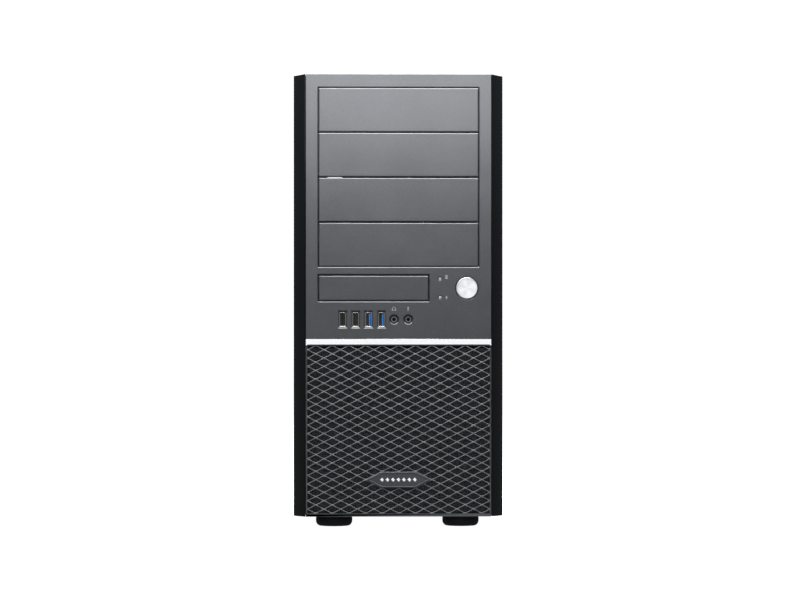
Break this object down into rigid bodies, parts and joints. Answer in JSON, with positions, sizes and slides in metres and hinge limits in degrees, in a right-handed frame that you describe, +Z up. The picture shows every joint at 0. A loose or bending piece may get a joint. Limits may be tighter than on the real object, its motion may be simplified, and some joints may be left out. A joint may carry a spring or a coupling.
{
  "type": "desktop computer tower",
  "caption": "Upright desktop computer in a graphite front with blank drive covers, round power button, front sockets, diamond lattice grille, sliding steel sides and fitted internals.",
  "frame": {"origin": "centre of the footprint, on the surface the feet stand on", "axes": "+Z up, the front faces -Y, +X to the right as seen from the front"},
  "size_m": [0.1956, 0.469, 0.4235],
  "materials": {
    "satin_plastic": "satin graphite moulding, dark and slightly metallic",
    "gloss_plastic": "polished black",
    "grille_plastic": "satin dark grey lattice moulding",
    "foam": "open-cell filter foam",
    "spun_aluminium": "spun, bright",
    "bright_trim": "mirror bright",
    "black_steel": "black powder coat, fine texture",
    "zinc_steel": "zinc plated sheet, dull",
    "rubber": "matt black",
    "circuit_board": "green solder mask, satin",
    "fan_plastic": "black, satin",
    "connector_plastic": "black, satin",
    "nickel_shell": "nickel plated sheet, bright",
    "connector_block": "nickel plated shells around plastic inserts",
    "cast_aluminium": "sealed drive casting, satin",
    "extruded_aluminium": "bare extrusion, satin",
    "lead_sleeve": "black sleeve",
    "clear_lens": "clear, polished"
  },
  "bodies": {
    "chassis": {"base_pan": "black_steel", "front_frame": "black_steel", "rear_panel": "zinc_steel", "top_panel": "black_steel", "board_tray": "zinc_steel", "upper_drive_cage": "zinc_steel", "lower_drive_cage": "zinc_steel", "foot_front_left": "rubber", "foot_front_right": "rubber", "foot_rear_left": "rubber", "foot_rear_right": "rubber", "motherboard": "circuit_board", "processor": "zinc_steel", "cpu_heatsink": "extruded_aluminium", "cpu_fan_frame": "fan_plastic", "memory_module": "circuit_board", "rear_io_ports": "connector_block", "io_shield": "nickel_shell", "graphics_card": "circuit_board", "psu_housing": "black_steel", "psu_inlet": "connector_plastic", "rear_fan_frame": "fan_plastic", "front_fan_frame": "fan_plastic", "hard_drive": "cast_aluminium", "main_power_cable": "lead_sleeve", "drive_data_cable": "lead_sleeve"},
    "front": {"front_bezel": "satin_plastic", "bezel_side_left": "gloss_plastic", "bezel_side_right": "gloss_plastic", "power_switch": "connector_plastic", "power_led_lens": "clear_lens", "drive_led_lens": "clear_lens", "usb_port_1": "nickel_shell", "usb_port_2": "nickel_shell", "usb_port_3": "nickel_shell", "usb_port_4": "nickel_shell", "audio_jack_1": "connector_plastic", "audio_jack_2": "connector_plastic", "front_io_board": "circuit_board", "trim_strip": "bright_trim", "front_grille": "grille_plastic", "dust_filter": "foam", "badge": "satin_plastic"},
    "bay_cover_1": {"bay_cover_1": "satin_plastic"},
    "bay_cover_2": {"bay_cover_2": "satin_plastic"},
    "bay_cover_3": {"bay_cover_3": "satin_plastic"},
    "bay_cover_4": {"bay_cover_4": "satin_plastic"},
    "small_bay_cover": {"small_bay_cover": "satin_plastic"},
    "power_button": {"power_button": "spun_aluminium"},
    "side_panel_left": {"side_panel_left": "black_steel"},
    "side_panel_right": {"side_panel_right": "black_steel"},
    "thumbscrew_left_low": {"thumbscrew_left_low": "zinc_steel"},
    "thumbscrew_left_high": {"thumbscrew_left_high": "zinc_steel"},
    "thumbscrew_right_low": {"thumbscrew_right_low": "zinc_steel"},
    "thumbscrew_right_high": {"thumbscrew_right_high": "zinc_steel"},
    "cpu_fan_rotor": {"cpu_fan_rotor": "fan_plastic"},
    "rear_fan_rotor": {"rear_fan_rotor": "fan_plastic"},
    "front_fan_rotor": {"front_fan_rotor": "fan_plastic"},
    "psu_fan_rotor": {"psu_fan_rotor": "fan_plastic"},
    "psu_switch": {"psu_switch": "connector_plastic"}
  },
  "joints": [
    {"name": "front_pull", "type": "slide", "parent": "chassis", "child": "front", "axis": [0, -1, 0], "range_m": [0, 0.04]},
    {"name": "bay_cover_1_pull", "type": "slide", "parent": "front", "child": "bay_cover_1", "axis": [0, -1, 0], "range_m": [0, 0.03]},
    {"name": "bay_cover_2_pull", "type": "slide", "parent": "front", "child": "bay_cover_2", "axis": [0, -1, 0], "range_m": [0, 0.03]},
    {"name": "bay_cover_3_pull", "type": "slide", "parent": "front", "child": "bay_cover_3", "axis": [0, -1, 0], "range_m": [0, 0.03]},
    {"name": "bay_cover_4_pull", "type": "slide", "parent": "front", "child": "bay_cover_4", "axis": [0, -1, 0], "range_m": [0, 0.03]},
    {"name": "small_bay_cover_pull", "type": "slide", "parent": "front", "child": "small_bay_cover", "axis": [0, -1, 0], "range_m": [0, 0.03]},
    {"name": "power_button_press", "type": "slide", "parent": "front", "child": "power_button", "axis": [0, 1, 0], "range_m": [0, 0.0025], "stiffness_N_per_m": 400, "springref_m": -0.0015},
    {"name": "side_panel_left_slide", "type": "slide", "parent": "chassis", "child": "side_panel_left", "axis": [0, 1, 0], "range_m": [0, 0.45]},
    {"name": "side_panel_right_slide", "type": "slide", "parent": "chassis", "child": "side_panel_right", "axis": [0, 1, 0], "range_m": [0, 0.45]},
    {"name": "thumbscrew_left_low_turn", "type": "hinge", "parent": "side_panel_left", "child": "thumbscrew_left_low", "pos_m": [-0.0909, 0.22805, 0.0638], "axis": [0, 1, 0], "continuous": true},
    {"name": "thumbscrew_left_high_turn", "type": "hinge", "parent": "side_panel_left", "child": "thumbscrew_left_high", "pos_m": [-0.0909, 0.22805, 0.3707], "axis": [0, 1, 0], "continuous": true},
    {"name": "thumbscrew_right_low_turn", "type": "hinge", "parent": "side_panel_right", "child": "thumbscrew_right_low", "pos_m": [0.0909, 0.22805, 0.0638], "axis": [0, 1, 0], "continuous": true},
    {"name": "thumbscrew_right_high_turn", "type": "hinge", "parent": "side_panel_right", "child": "thumbscrew_right_high", "pos_m": [0.0909, 0.22805, 0.3707], "axis": [0, 1, 0], "continuous": true},
    {"name": "cpu_fan_spin", "type": "hinge", "parent": "chassis", "child": "cpu_fan_rotor", "pos_m": [0.02265, 0.11845, 0.3395], "axis": [1, 0, 0], "continuous": true},
    {"name": "rear_fan_spin", "type": "hinge", "parent": "chassis", "child": "rear_fan_rotor", "pos_m": [-0.027, 0.20115, 0.3425], "axis": [0, 1, 0], "continuous": true},
    {"name": "front_fan_spin", "type": "hinge", "parent": "chassis", "child": "front_fan_rotor", "pos_m": [-0.0232, -0.20125, 0.078], "axis": [0, 1, 0], "continuous": true},
    {"name": "psu_fan_spin", "type": "hinge", "parent": "chassis", "child": "psu_fan_rotor", "pos_m": [0.0058, 0.15515, 0.0158], "axis": [0, 0, 1], "continuous": true},
    {"name": "psu_switch_rock", "type": "hinge", "parent": "chassis", "child": "psu_switch", "pos_m": [0.0473, 0.22515, 0.075], "axis": [1, 0, 0], "range_deg": [-16, 0]}
  ]
}
